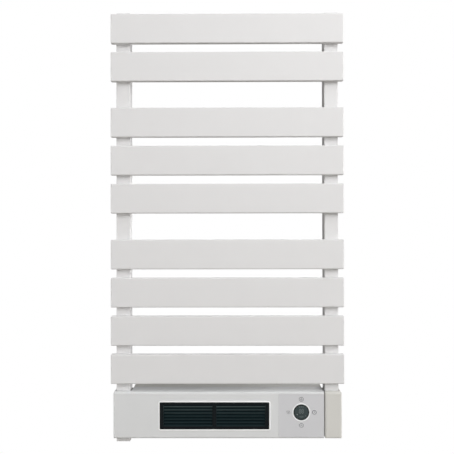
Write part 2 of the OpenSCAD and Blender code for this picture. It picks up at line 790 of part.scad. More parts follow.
module fan_housing() {
  flange_w = 2 * flange_screw_x + boss_d;
  mouth_h = 2 * max(mouth_half_h, duct_half_h) + 2 * scroll_t;
  color(black_plastic) difference() {
    union() {
      in_fan() along_x(-fan_half_len - plate_t / 2, fan_half_len + plate_t / 2) scroll_2d();
      for (s = [-1, 1]) in_fan()
        along_x(s * (fan_half_len + plate_t / 2) - plate_t / 2, s * (fan_half_len + plate_t / 2) + plate_t / 2)
          fan_end_plate_2d();
      // Flange on the back of the grille, and the mouth that the grille reaches into
      along_y(fan_flange_y, fan_flange_y + scroll_t) translate([grille_x, grille_z]) difference() {
        tube_2d(flange_w, mouth_h + scroll_t, 4);
        tube_2d(2 * mouth_half_w, 2 * mouth_half_h, 1);
      }
      along_y(fan_flange_y, mouth_back_y + scroll_t) translate([grille_x, grille_z]) difference() {
        tube_2d(2 * mouth_half_w + 2 * scroll_t, mouth_h, 3);
        tube_2d(2 * mouth_half_w, 2 * mouth_half_h, 1);
      }
      // Step from the mouth in to the duct
      along_y(mouth_back_y, mouth_back_y + scroll_t) translate([grille_x, grille_z]) difference() {
        tube_2d(2 * mouth_half_w + scroll_t, mouth_h - scroll_t, 1);
        square([2 * fan_half_len, 2 * duct_half_h], center = true);
      }
    }
    at_flange_screws() rod_y(screw_d + loose, fan_flange_y - past, fan_flange_y + scroll_t + past);
    in_fan() rod_x(bush_seat_d + 2 * fit, fan_half_len - past, fan_half_len + plate_t + past);
    in_fan() rod_x(bush_seat_d, -fan_half_len - plate_t - past, -fan_half_len + past);
  }
}
module blade_2d() {
  arc_r = rotor_d / 10;
  mid_r = rotor_d / 2 - arc_r / 2;
  intersection() {
    difference() {
      circle(d = rotor_d);
      circle(d = rotor_d - 2 * arc_r);
    }
    translate([mid_r, -arc_r]) difference() {
      circle(r = arc_r + blade_t / 2);
      circle(r = arc_r - blade_t / 2);
    }
    translate([0, -arc_r / 2]) square([rotor_d, arc_r]);
  }
}
module fan_rotor() {
  color([0.55, 0.57, 0.58]) in_fan() difference() {
    union() {
      along_x(-rotor_len / 2 + disc_t / 2, rotor_len / 2 - disc_t / 2)
        for (k = [0 : blade_count - 1]) rotate(k * 360 / blade_count) blade_2d();
      for (k = [0 : 3]) {
        disc_x = -rotor_len / 2 + k * (rotor_len - disc_t) / 3;
        rod_x(rotor_d + 2 * disc_over, disc_x, disc_x + disc_t);
      }
      for (s = [-1, 1]) rod_x(shaft_d + 6, s * (rotor_len / 2 - 3) - 3, s * (rotor_len / 2 - 3) + 3);
    }
    rod_x(shaft_d + 2 * fit, -rotor_len, rotor_len);
    for (k = [1, 2]) {
      disc_x = -rotor_len / 2 + k * (rotor_len - disc_t) / 3;
      rod_x(rotor_d - rotor_d / 5 - 2, disc_x - past, disc_x + disc_t + past);
    }
  }
}
module fan_shaft() {
  color(bare_steel) translate([0, fan_y, fan_z]) rod_x(shaft_d, shaft_left, shaft_right);
}
module fan_motor() {
  color([0.45, 0.46, 0.48]) translate([0, fan_y, fan_z]) difference() {
    union() {
      rod_x(motor_d, motor_left + 3, motor_right);
      rod_x(motor_d / 2, motor_left, motor_left + 4);
    }
    rod_x(shaft_d + 4 * fit, motor_left - past, motor_right + past);
  }
}
module motor_bracket() {
  half = duct_half_h - 1;
  color(bare_steel) translate([0, fan_y, fan_z]) difference() {
    along_x(motor_right, motor_right + bracket_t) tube_2d(2 * scroll_r, 2 * half, 4);
    rod_x(shaft_d + 4, motor_right - past, motor_right + bracket_t + past);
  }
}
module bush_seat() {
  color([0.12, 0.12, 0.12]) in_fan() difference() {
    union() {
      rod_x(bush_seat_d, fan_half_len, fan_half_len + plate_t + 1);
      rod_x(bush_seat_d + 4, fan_half_len + plate_t, fan_half_len + plate_t + 2);
    }
    rod_x(bush_d + 2 * fit, fan_half_len - past, fan_half_len + plate_t + bush_out);
  }
}
module shaft_bush() {
  color([0.72, 0.55, 0.30]) in_fan() difference() {
    rod_x(bush_d, fan_half_len - 0.5, fan_half_len + plate_t + bush_out);
    rod_x(shaft_d + 2 * fit, fan_half_len - past, fan_half_len + plate_t + bush_out + past);
  }
}

// Air heater: a frame, heating bars and folded fins between them
module in_ptc() {
  translate([grille_x, 0, grille_z]) children();
}
module ptc_frame() {
  color([0.20, 0.20, 0.20]) in_ptc() along_y(ptc_front_y, ptc_front_y + ptc_depth) difference() {
    tube_2d(2 * ptc_half_w, 2 * ptc_half_h, 1);
    square([2 * ptc_inner_w, 2 * (ptc_half_h - ptc_rim)], center = true);
  }
}
module ptc_bars() {
  color([0.75, 0.76, 0.77]) for (k = [1 : ptc_bars_n]) {
    bar_z = -ptc_half_h + ptc_rim + k * fin_row_h + (k - 1) * ptc_bar_h;
    in_ptc() translate([-ptc_inner_w, ptc_front_y + 0.5, bar_z])
      cube([2 * ptc_inner_w, ptc_depth - 1, ptc_bar_h]);
  }
}
module fin_strip_2d() {
  fold_v = 0.8;
  half_row = fin_row_h / 2 - fit;
  folds = 2 * floor((2 * ptc_inner_w - 1) / fin_pitch);
  start = -folds * fin_pitch / 4;
  function fold_z(i) = (i % 2 == 0 ? 1 : -1) * (half_row - fold_v / 2);
  polygon(concat(
    [for (i = [0 : folds]) [start + i * fin_pitch / 2, fold_z(i) + fold_v / 2]],
    [for (i = [folds : -1 : 0]) [start + i * fin_pitch / 2, fold_z(i) - fold_v / 2]]
  ));
}
module ptc_fins() {
  color([0.80, 0.81, 0.82]) for (k = [0 : ptc_rows - 1]) {
    row_z = -ptc_half_h + ptc_rim + k * (fin_row_h + ptc_bar_h) + fin_row_h / 2;
    in_ptc() along_y(ptc_front_y + 1, ptc_front_y + ptc_depth - 1)
      translate([0, row_z]) fin_strip_2d();
  }
}
module thermal_cutout() {
  top = fan_z + duct_half_h + scroll_t;
  color(black_plastic) translate([grille_x, ptc_front_y + ptc_depth / 2 + 6, top]) {
    cylinder(d = 14, h = 6);
    translate([-12, -4, 0]) cube([24, 8, 1]);
    for (s = [-1, 1]) translate([s * 3.5 - 0.4, -2.5, 5.5]) cube([0.8, 5, 6]);
  }
}

// Power electronics behind the control panel, and the supply's inlet
module at_board_posts() {
  for (s = [-1, 1], t = [-1, 1])
    translate([power_board_x + s * (power_board_w / 2 - board_post_inset), 0,
               box_z + t * (power_board_h / 2 - board_post_inset)]) children();
}
module power_board() {
  color(board_green) difference() {
    translate([power_board_x, 0, box_z])
      along_y(power_board_y, power_board_y + board_t) tube_2d(power_board_w, power_board_h, board_r);
    at_board_posts() rod_y(3, power_board_y - past, power_board_y + board_t + past);
  }
}
module board_relays() {
  color([0.15, 0.25, 0.45]) for (s = [-1, 1])
    translate([power_board_x + s * 13 - 9.5, power_board_y - 15.5, box_z - 2]) cube([19, 15.5, 15.5]);
}
module terminal_block() {
  poles = 6;
  pole_w = 7.6;
  color([0.20, 0.45, 0.25]) translate([power_board_x - poles * pole_w / 2, power_board_y - 12, box_z - 28])
    difference() {
      cube([poles * pole_w, 12, 12]);
      for (k = [0 : poles - 1]) translate([(k + 0.5) * pole_w, 6, 0]) {
        translate([-2.2, -2.5, -past]) cube([4.4, 5, 6 + past]);
        translate([0, -1, 6]) rod_y(4, -7, -2);
      }
    }
}
module cable_gland() {
  color([0.30, 0.30, 0.31]) translate([gland_x, gland_y, box_bottom]) difference() {
    union() {
      translate([0, 0, -gland_out]) cylinder(d1 = cable_d + 5, d2 = gland_d + 4, h = gland_out - 3);
      translate([0, 0, -3]) cylinder(d = gland_d + 4, h = 3);
      translate([0, 0, -past]) cylinder(d = gland_d, h = past + shell_t + gland_in);
      translate([0, 0, shell_t]) cylinder(d = (gland_d + 4) / cos(30), h = gland_in - 2, $fn = 6);
    }
    translate([0, 0, -gland_out - past])
      cylinder(d = cable_d, h = gland_out + shell_t + gland_in + 2 * past);
  }
}

// Heating rod in the right post
module heater_boss() {
  boss_h = 12;
  color(bare_steel) translate([post_x, post_mid_y, 0]) difference() {
    along_z(right_post_bottom, right_post_bottom + boss_h)
      tube_2d(post_w - 2 * post_wall - 2 * fit, post_d - 2 * post_wall - 2 * fit, post_inner_r);
    translate([0, 0, right_post_bottom - past]) cylinder(d = neck_d + 2 * fit, h = boss_h + 2 * past);
  }
}
module immersion_heater() {
  color(bare_steel) translate([post_x, post_mid_y, right_post_bottom]) {
    translate([0, 0, -hex_h]) cylinder(d = hex_af / cos(30), h = hex_h, $fn = 6);
    translate([0, 0, -past]) cylinder(d = neck_d, h = 14 + past);
    translate([0, 0, 13]) cylinder(d = rod_d, h = rod_len - rod_d / 2 - 13);
    translate([0, 0, rod_len - rod_d / 2]) sphere(d = rod_d);
    translate([0, 0, -hex_h - terminal_h]) cylinder(d = hex_af - 6, h = terminal_h + past);
  }
}

left_post();
right_post();
post_top_caps();
left_post_foot_cap();
slat(1);  // slat_1
slat(2);  // slat_2
slat(3);  // slat_3
slat(4);  // slat_4
slat(5);  // slat_5
slat(6);  // slat_6
slat(7);  // slat_7
slat(8);  // slat_8
slat(9);  // slat_9
slat_end_caps(-1);  // slat_end_caps_left
slat_end_caps(1);  // slat_end_caps_right
slat_nipples();
post_lugs();
bracket_stems();
bracket_sockets();
bracket_grub_screws();
weld_studs();
stud_nuts();
front_shell();
rear_shell();
right_cover();
outlet_grille();
grille_screws();
case_screws();
cover_screws();
control_panel();
display_ring();
display_lens();
display_module();
display_board();
key_switches();
key(0);  // key_power
key(1);  // key_timer
key(2);  // key_heat
key(3);  // key_boost
fan_housing();
fan_rotor();
fan_shaft();
fan_motor();
motor_bracket();
bush_seat();
shaft_bush();
ptc_frame();
ptc_bars();
ptc_fins();
thermal_cutout();
power_board();
board_relays();
terminal_block();
cable_gland();
heater_boss();
immersion_heater();
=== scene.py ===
"""Electric bathroom radiator: white flat slats on two posts, over a fan heater box with a round display."""
import json
import math

import bmesh
import bpy
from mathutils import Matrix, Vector


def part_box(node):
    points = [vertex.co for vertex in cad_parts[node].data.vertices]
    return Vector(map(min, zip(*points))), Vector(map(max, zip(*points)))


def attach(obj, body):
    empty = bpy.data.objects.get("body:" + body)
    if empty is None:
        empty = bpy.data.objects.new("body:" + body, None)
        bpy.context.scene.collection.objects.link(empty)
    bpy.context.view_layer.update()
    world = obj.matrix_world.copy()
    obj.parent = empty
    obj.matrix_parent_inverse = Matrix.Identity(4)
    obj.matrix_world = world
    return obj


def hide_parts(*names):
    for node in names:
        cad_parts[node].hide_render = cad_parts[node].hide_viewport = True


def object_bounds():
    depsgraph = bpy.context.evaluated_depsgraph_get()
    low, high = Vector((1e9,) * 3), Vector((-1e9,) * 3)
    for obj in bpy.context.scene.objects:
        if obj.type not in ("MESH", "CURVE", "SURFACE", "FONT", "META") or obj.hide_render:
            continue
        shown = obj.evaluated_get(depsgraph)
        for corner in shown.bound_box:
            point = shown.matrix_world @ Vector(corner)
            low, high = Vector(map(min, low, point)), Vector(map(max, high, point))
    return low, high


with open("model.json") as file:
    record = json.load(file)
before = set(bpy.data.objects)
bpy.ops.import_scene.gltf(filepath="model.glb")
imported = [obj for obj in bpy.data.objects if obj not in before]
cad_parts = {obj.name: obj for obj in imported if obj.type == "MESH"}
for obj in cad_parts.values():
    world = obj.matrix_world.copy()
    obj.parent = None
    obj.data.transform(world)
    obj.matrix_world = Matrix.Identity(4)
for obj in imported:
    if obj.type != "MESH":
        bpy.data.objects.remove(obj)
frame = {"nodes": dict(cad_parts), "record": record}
cad_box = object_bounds()
nodes = frame["nodes"]
MM = 0.001

# Camera: almost level with the middle of the rail and square to it

# View and focal length in pixels, sensor in mm, distances in metres, and the camera's small turns
PHOTO_PIXELS = 454
FOCAL_PIXELS = 530
SENSOR_WIDTH = 36.0
CAMERA_TO_SLATS = 1.2483
CAMERA_RIGHT = 0.0056
CAMERA_DROP = 0.0074
CAMERA_TURN_DEGREES = (0.30, 0.10, 0.27)

low, high = cad_box
slat_low, slat_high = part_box("slat_1")
camera_data = bpy.data.cameras.new("photo_camera")
camera_data.sensor_width = SENSOR_WIDTH
camera_data.lens = SENSOR_WIDTH * FOCAL_PIXELS / PHOTO_PIXELS
camera = bpy.data.objects.new("photo_camera", camera_data)
camera.location = (CAMERA_RIGHT, slat_low[1] - CAMERA_TO_SLATS, (low[2] + high[2]) / 2 - CAMERA_DROP)
turn_x, turn_y, turn_z = (math.radians(a) for a in CAMERA_TURN_DEGREES)
camera.rotation_euler = (math.pi / 2 + turn_x, turn_y, turn_z)
bpy.context.scene.collection.objects.link(camera)
bpy.context.scene.camera = camera
bpy.context.scene.view_settings.view_transform = "Standard"


# Materials

def new_material(name):
    """An empty node material with a Principled shader on its output."""
    made = bpy.data.materials.new(name)
    made.use_nodes = True
    tree = made.node_tree
    return made, tree, tree.nodes["Principled BSDF"]


def add_node(tree, kind, values=None, options=None, **links):
    """A node with its options set, some sockets given values and some linked from other nodes' outputs."""
    made = tree.nodes.new(kind)
    for option, value in (options or {}).items():
        setattr(made, option, value)
    for socket, value in (values or {}).items():
        made.inputs[socket].default_value = value
    for socket, source in links.items():
        tree.links.new(source, made.inputs[socket.replace("_", " ")])
    return made


# How a pattern is scaled along X, Y and Z: evenly, or drawn out into lines along X
EVEN = (1, 1, 1)
ALONG_X = (0.02, 1, 1)


def noise(tree, scale, detail=2.0, stretch=EVEN):
    """Noise on the object's own coordinates, in features per metre."""
    place = add_node(tree, "ShaderNodeTexCoord").outputs["Object"]
    mapped = add_node(tree, "ShaderNodeMapping", {"Scale": stretch}, Vector=place)
    return add_node(tree, "ShaderNodeTexNoise", {"Scale": scale, "Detail": detail},
                    Vector=mapped.outputs["Vector"]).outputs["Fac"]


# The range that the noise mostly fills
NOISE_LOW, NOISE_HIGH = 0.3, 0.7


def colour_ramp(tree, fac, stops):
    """A colour ramp on a value, from stops that each hold a place and a colour, and its colour output."""
    made = add_node(tree, "ShaderNodeValToRGB", Fac=fac)
    marks = made.color_ramp.elements
    for mark, (position, colour) in zip(marks, stops[:2]):
        mark.position, mark.color = position, colour
    for position, colour in stops[2:]:
        marks.new(position).color = colour
    return made.outputs["Color"]


def vary_colour(tree, shader, colour, amount, scale):
    """Lets the colour drift a little either way over the surface."""
    darker = [c * (1 - amount) for c in colour]
    lighter = [min(1, c * (1 + amount)) for c in colour]
    stops = [(NOISE_LOW, (*darker, 1)), (NOISE_HIGH, (*lighter, 1))]
    tree.links.new(colour_ramp(tree, noise(tree, scale, 3.0), stops), shader.inputs["Base Color"])


def vary_roughness(tree, shader, low_value, high_value, scale, stretch=EVEN):
    """Lets the roughness drift between two values over the surface."""
    limits = {"From Min": NOISE_LOW, "From Max": NOISE_HIGH, "To Min": low_value, "To Max": high_value}
    spread = add_node(tree, "ShaderNodeMapRange", limits, Value=noise(tree, scale, 2.0, stretch))
    tree.links.new(spread.outputs["Result"], shader.inputs["Roughness"])


def add_bump(tree, shader, layers):
    """Bump from noise layers, each a scale in features per metre, a height in metres and a stretch."""
    normal = None
    for scale, height, stretch in layers:
        bump = add_node(tree, "ShaderNodeBump", {"Strength": 1.0, "Distance": height},
                        Height=noise(tree, scale, 2.0, stretch))
        if normal is not None:
            tree.links.new(normal, bump.inputs["Normal"])
        normal = bump.outputs["Normal"]
    tree.links.new(normal, shader.inputs["Normal"])


COAT_COLOUR = (0.76, 0.754, 0.757)
# Bump layers: features per metre, height in metres and stretch
ORANGE_PEEL = [(420, 0.04 * MM, EVEN), (1500, 0.01 * MM, EVEN)]
MOULD_WAVE = (90, 0.03 * MM, EVEN)


def powder_coat():
    """White powder coat: satin, with a fine orange peel."""
    made, tree, shader = new_material("white_powder_coat")
    vary_colour(tree, shader, COAT_COLOUR, amount=0.006, scale=18)
    vary_roughness(tree, shader, 0.44, 0.52, scale=120)
    add_bump(tree, shader, ORANGE_PEEL)
    shader.inputs["Specular IOR Level"].default_value = 0.07
    return made


def moulding(name, colour, drift, rough, grain, grain_height):
    """Moulded plastic with an even spark-eroded grain, whose height is in mm."""
    made, tree, shader = new_material(name)
    vary_colour(tree, shader, colour, amount=drift, scale=25)
    vary_roughness(tree, shader, rough - 0.04, rough + 0.05, scale=300)
    add_bump(tree, shader, [(grain, grain_height * MM, EVEN), MOULD_WAVE])
    shader.inputs["Specular IOR Level"].default_value = 0.2
    return made


def glossy_plastic(name, colour, rough):
    """Smooth moulded plastic or lacquer with a clear sheen."""
    made, tree, shader = new_material(name)
    vary_colour(tree, shader, colour, amount=0.02, scale=60)
    vary_roughness(tree, shader, rough - 0.03, rough + 0.04, scale=200)
    add_bump(tree, shader, [(240, 0.006 * MM, EVEN)])
    shader.inputs["Specular IOR Level"].default_value = 0.22
    shader.inputs["Coat Weight"].default_value = 0.1
    shader.inputs["Coat Roughness"].default_value = 0.06
    return made


GRILLE_FACE = (0.006, 0.0085, 0.0095, 1)
# Painted highlight: this paler colour on the louvres' front edges stands in for light from above catching
# them
GRILLE_PAINTED_HIGHLIGHT = (0.075, 0.10, 0.10, 1)
GRILLE_DEEP = (0.0095, 0.0205, 0.0235, 1)
GRILLE_DEPTH = 4 * MM
# How far below the grille's top the painted highlight is at full strength, and its least strength from the
# middle down
HIGHLIGHT_BELOW_TOP = 14 * MM
HIGHLIGHT_LEAST = 0.12
# Shares of the grille's depth: the end of the flat face, the stretch of painted highlight on the louvres'
# front edges, and where the deep tone starts
FACE_END = 0.06
HIGHLIGHT_START, HIGHLIGHT_END = 0.14, 0.4
DEEP_START_PLAIN, DEEP_START_HIGHLIT = 0.2, 0.6
# Places of the Mix node's two colour inputs and of its colour output
MIX_COLOUR_A, MIX_COLOUR_B, MIX_COLOUR_OUT = 6, 7, 2


def grille_plastic():
    """Black plastic of the outlet: matt in front and bluish further in, with a painted highlight on the
    louvres' front edges that is strongest towards the top, where light from above falls.
    """
    made, tree, shader = new_material("grille_black_plastic")
    grille_low, grille_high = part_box("outlet_grille")
    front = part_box("control_panel")[0][1]
    place = add_node(tree, "ShaderNodeTexCoord").outputs["Object"]
    split = add_node(tree, "ShaderNodeSeparateXYZ", Vector=place)
    depth = add_node(tree, "ShaderNodeMapRange", {"From Min": front, "From Max": front + GRILLE_DEPTH},
                     Value=split.outputs["Y"]).outputs["Result"]
    # The painted highlight fades from full near the top of the grille to its least at the middle and below
    height = add_node(tree, "ShaderNodeMapRange", {"From Min": (grille_low[2] + grille_high[2]) / 2,
                                                   "From Max": grille_high[2] - HIGHLIGHT_BELOW_TOP,
                                                   "To Min": HIGHLIGHT_LEAST},
                      Value=split.outputs["Z"]).outputs["Result"]
    plain = colour_ramp(tree, depth, [(FACE_END, GRILLE_FACE), (DEEP_START_PLAIN, GRILLE_DEEP)])
    highlit = colour_ramp(tree, depth, [(FACE_END, GRILLE_FACE), (HIGHLIGHT_START, GRILLE_PAINTED_HIGHLIGHT),
                                       (HIGHLIGHT_END, GRILLE_PAINTED_HIGHLIGHT), (DEEP_START_HIGHLIT, GRILLE_DEEP)])
    blend = add_node(tree, "ShaderNodeMix", {}, {"data_type": "RGBA"})
    tree.links.new(height, blend.inputs["Factor"])
    tree.links.new(plain, blend.inputs[MIX_COLOUR_A])
    tree.links.new(highlit, blend.inputs[MIX_COLOUR_B])
    tree.links.new(blend.outputs[MIX_COLOUR_OUT], shader.inputs["Base Color"])
    vary_roughness(tree, shader, 0.42, 0.51, scale=300)
    add_bump(tree, shader, [(1800, 0.015 * MM, EVEN), MOULD_WAVE])
    shader.inputs["Specular IOR Level"].default_value = 0.06
    return made


def metal(name, colour, rough, stretch):
    """Plain metal with fine drawing lines."""
    made, tree, shader = new_material(name)
    vary_colour(tree, shader, colour, amount=0.05, scale=80)
    vary_roughness(tree, shader, rough - 0.07, rough + 0.09, scale=900, stretch=stretch)
    add_bump(tree, shader, [(1600, 0.01 * MM, stretch)])
    shader.inputs["Metallic"].default_value = 1.0
    return made


BOARD_LACQUER = (0.012, 0.10, 0.035, 1)
BOARD_TRACKS = (0.03, 0.17, 0.06, 1)


def circuit_board():
    """Green lacquered board with faint copper tracks under the lacquer."""
    made, tree, shader = new_material("green_circuit_board")
    place = add_node(tree, "ShaderNodeTexCoord").outputs["Object"]
    tracks = add_node(tree, "ShaderNodeTexWave", {"Scale": 120.0, "Distortion": 6.0, "Detail": 1.0},
                      Vector=place)
    stops = [(0.47, BOARD_LACQUER), (0.55, BOARD_TRACKS)]
    tree.links.new(colour_ramp(tree, tracks.outputs["Fac"], stops), shader.inputs["Base Color"])
    vary_roughness(tree, shader, 0.24, 0.34, scale=200)
    add_bump(tree, shader, [(500, 0.02 * MM, EVEN)])
    return made


def rubber(name, shade):
    """Black rubber, dull."""
    made, tree, shader = new_material(name)
    vary_colour(tree, shader, (shade, shade, shade), amount=0.15, scale=150)
    shader.inputs["Specular IOR Level"].default_value = 0.15
    vary_roughness(tree, shader, 0.72, 0.85, scale=300)
    add_bump(tree, shader, [(900, 0.03 * MM, EVEN)])
    return made


# Moulded plastics: colour, its drift, roughness, and the grain's features per metre and height in mm
MOULDED = {
    "case_white_plastic": ((0.714, 0.720, 0.724), 0.008, 0.5, 2200, 0.012),
    # Warm white: the right cover's own warmer tone, and painted shade on the rear shell's top
    "warm_white_and_painted_shade_plastic": ((0.668, 0.658, 0.624), 0.008, 0.5, 2200, 0.012),
    "panel_grey_plastic": ((0.642, 0.642, 0.660), 0.006, 0.42, 2600, 0.008),
    "key_grey_plastic": ((0.647, 0.647, 0.666), 0.006, 0.4, 2600, 0.006),
    "inner_black_plastic": ((0.02, 0.02, 0.021), 0.1, 0.55, 1500, 0.02),
    "rotor_grey_plastic": ((0.28, 0.29, 0.30), 0.03, 0.5, 1500, 0.015),
    "gland_grey_plastic": ((0.09, 0.09, 0.095), 0.05, 0.5, 1500, 0.02),
    "relay_blue_plastic": ((0.03, 0.07, 0.20), 0.04, 0.35, 1500, 0.01),
    "terminal_green_plastic": ((0.05, 0.20, 0.07), 0.04, 0.4, 1500, 0.01),
    "display_module_grey": ((0.08, 0.10, 0.09), 0.04, 0.4, 1500, 0.01),
    "symbol_ink": ((0.075, 0.08, 0.09), 0.04, 0.4, 2600, 0.004),
}
# Smooth plastics: colour and roughness
GLOSSY = {
    "ring_white_plastic": ((0.92, 0.925, 0.93), 0.2),
    "dark_display_lens": ((0.010, 0.015, 0.015), 0.09),
    "display_window_green": ((0.034, 0.050, 0.050), 0.1),
    "unlit_segments": ((0.17, 0.20, 0.20), 0.1),
    "clear_lamp": ((0.72, 0.73, 0.71), 0.1),
}
# Metals: colour, roughness and the direction of their drawing lines
METALS = {
    "zinc_plated_steel": ((0.58, 0.59, 0.60), 0.32, ALONG_X),
    "motor_can_steel": ((0.40, 0.41, 0.43), 0.4, ALONG_X),
    "bare_aluminium": ((0.75, 0.76, 0.77), 0.36, ALONG_X),
    "sintered_bronze": ((0.55, 0.36, 0.16), 0.45, EVEN),
}
white_coat = powder_coat()
moulded = {name: moulding(name, *values) for name, values in MOULDED.items()}
glossy = {name: glossy_plastic(name, *values) for name, values in GLOSSY.items()}
metals = {name: metal(name, *values) for name, values in METALS.items()}
# The seal is much darker than rubber is: painted shade for the gap round the grille
painted_shade_seal = rubber("seal_rubber_painted_shade", 0.006)

FINISHES = {
    "white_steel": white_coat,
    "bare_steel": metals["zinc_plated_steel"],
    "white_plastic": moulded["case_white_plastic"],
    "panel_grey": moulded["panel_grey_plastic"],
    "grille_black": grille_plastic(),
    "ring_white": glossy["ring_white_plastic"],
    "dark_screen": glossy["dark_display_lens"],
    "display_grey": moulded["display_module_grey"],
    "key_grey": moulded["key_grey_plastic"],
    "board_green": circuit_board(),
    "black_plastic": moulded["inner_black_plastic"],
    "rotor_grey": moulded["rotor_grey_plastic"],
    "motor_grey": metals["motor_can_steel"],
    "black_rubber": rubber("black_rubber", 0.018),
    "bronze": metals["sintered_bronze"],
    "bare_aluminium": metals["bare_aluminium"],
    "relay_blue": moulded["relay_blue_plastic"],
    "terminal_green": moulded["terminal_green_plastic"],
    "gland_grey": moulded["gland_grey_plastic"],
}
# The rear shell's darker, warm plastic is painted shade, for its top in the shade of the lowest slat; the
# right cover takes it as its warm tone
OWN_FINISHES = {"right_cover": moulded["warm_white_and_painted_shade_plastic"], "rear_shell": moulded["warm_white_and_painted_shade_plastic"]}
for part in frame["record"]["subparts"]:
    mesh = nodes[part["node"]].data
    mesh.materials.clear()
    mesh.materials.append(OWN_FINISHES.get(part["node"], FINISHES[part["material_slot"]]))


# Meshes from lists of points

def mesh_of(name, points, faces=(), edges=()):
    """A mesh from points in metres, with its faces turned outwards."""
    made = bpy.data.meshes.new(name)
    made.from_pydata(points, list(edges), list(faces))
    if faces:
        shape = bmesh.new()
        shape.from_mesh(made)
        bmesh.ops.recalc_face_normals(shape, faces=shape.faces)
        shape.to_mesh(made)
        shape.free()
    made.update()
    return made


SHARP_ABOVE = 40


def smooth(mesh, sharp_above=SHARP_ABOVE):
    """Smooth faces, with the edges left sharp that turn by more than an angle in degrees."""
    mesh.polygons.foreach_set("use_smooth", [True] * len(mesh.polygons))
    mesh.set_sharp_from_angle(angle=math.radians(sharp_above))


def ring(radius, y, count):
    """Points round the Y axis, in the order that a lofted skin faces outwards for rising Y."""
    angles = [2 * math.pi * k / count for k in range(count)]
    return [(radius * math.sin(a), y, radius * math.cos(a)) for a in angles]


def loft(rings, close_start=True, close_end=True):
    """Points and faces of a skin over rings that hold the same number of points."""
    count = len(rings[0])
    points = [p for r in rings for p in r]
    faces = []
    for n in range(len(rings) - 1):
        here, there = n * count, (n + 1) * count
        for k in range(count):
            after = (k + 1) % count
            faces.append((here + k, here + after, there + after, there + k))
    if close_start:
        faces.append(tuple(reversed(range(count))))
    if close_end:
        last = (len(rings) - 1) * count
        faces.append(tuple(last + k for k in range(count)))
    return points, faces


def add_piece(name, mesh, finish):
    """Puts a finished mesh in the scene, riding on the radiator."""
    mesh.materials.append(finish)
    smooth(mesh)
    piece = bpy.data.objects.new(name, mesh)
    bpy.context.scene.collection.objects.link(piece)
    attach(piece, "radiator")


# Geometry Nodes helpers

def new_tree(name, inputs):
    """An empty geometry tree with named inputs, each a socket type and a default value."""
    tree = bpy.data.node_groups.new(name, "GeometryNodeTree")
    tree.interface.new_socket("Geometry", in_out="INPUT", socket_type="NodeSocketGeometry")
    for label, (kind, value) in inputs.items():
        socket = tree.interface.new_socket(label, in_out="INPUT", socket_type=kind)
        if value is not None:
            socket.default_value = value
    tree.interface.new_socket("Geometry", in_out="OUTPUT", socket_type="NodeSocketGeometry")
    return tree, tree.nodes.new("NodeGroupInput").outputs


def arithmetic(tree, operation, *terms):
    """A math node on sockets and plain numbers, and its result."""
    node = add_node(tree, "ShaderNodeMath", {}, {"operation": operation})
    for slot, term in zip(node.inputs, terms):
        if isinstance(term, (int, float)):
            slot.default_value = term
        else:
            tree.links.new(term, slot)
    return node.outputs[0]


def end_tree(tree, geometry, material):
    """Realizes what the tree made, gives it its material and sends it out."""
    real = add_node(tree, "GeometryNodeRealizeInstances", Geometry=geometry)
    painted = add_node(tree, "GeometryNodeSetMaterial", Geometry=real.outputs["Geometry"], Material=material)
    tree.links.new(painted.outputs["Geometry"], tree.nodes.new("NodeGroupOutput").inputs["Geometry"])


def grown(name, seed, tree, values, body="radiator", stands_for=(),
          sharp_above=SHARP_ABOVE):
    """The plain mesh that a tree makes of a seed mesh, riding on a body."""
    piece = bpy.data.objects.new(name, seed)
    bpy.context.scene.collection.objects.link(piece)
    modifier = piece.modifiers.new(name, "NODES")
    modifier.node_group = tree
    for item in tree.interface.items_tree:
        if item.in_out == "INPUT" and item.name in values:
            modifier[item.identifier] = values[item.name]
    depsgraph = bpy.context.evaluated_depsgraph_get()
    mesh = bpy.data.meshes.new_from_object(piece.evaluated_get(depsgraph), depsgraph=depsgraph)
    mesh.name = name
    piece.modifiers.clear()
    piece.data = mesh
    smooth(mesh, sharp_above)
    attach(piece, body)
    if stands_for:
        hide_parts(*stands_for)


def scatter_tree():
    """Puts a copy of one fastener on every point, each turned about its own axis by a fixed random angle."""
    tree, given = new_tree("scatter_fasteners", {"Fastener": ("NodeSocketObject", None),
                                                 "Seed": ("NodeSocketInt", 1),
                                                 "Material": ("NodeSocketMaterial", None)})
    shape = add_node(tree, "GeometryNodeObjectInfo", Object=given["Fastener"])
    spin = add_node(tree, "FunctionNodeRandomValue", {"Max": 2 * math.pi}, Seed=given["Seed"])
    turn = add_node(tree, "ShaderNodeCombineXYZ", Y=spin.outputs["Value"])
    copies = add_node(tree, "GeometryNodeInstanceOnPoints", Points=given["Geometry"],
                      Instance=shape.outputs["Geometry"], Rotation=turn.outputs["Vector"])
    end_tree(tree, copies.outputs["Instances"], given["Material"])
    return tree


BEAD_SIDES = 7
BEAD_CORNER_STEPS = 6
STEPS_PER_RIPPLE = 5.0


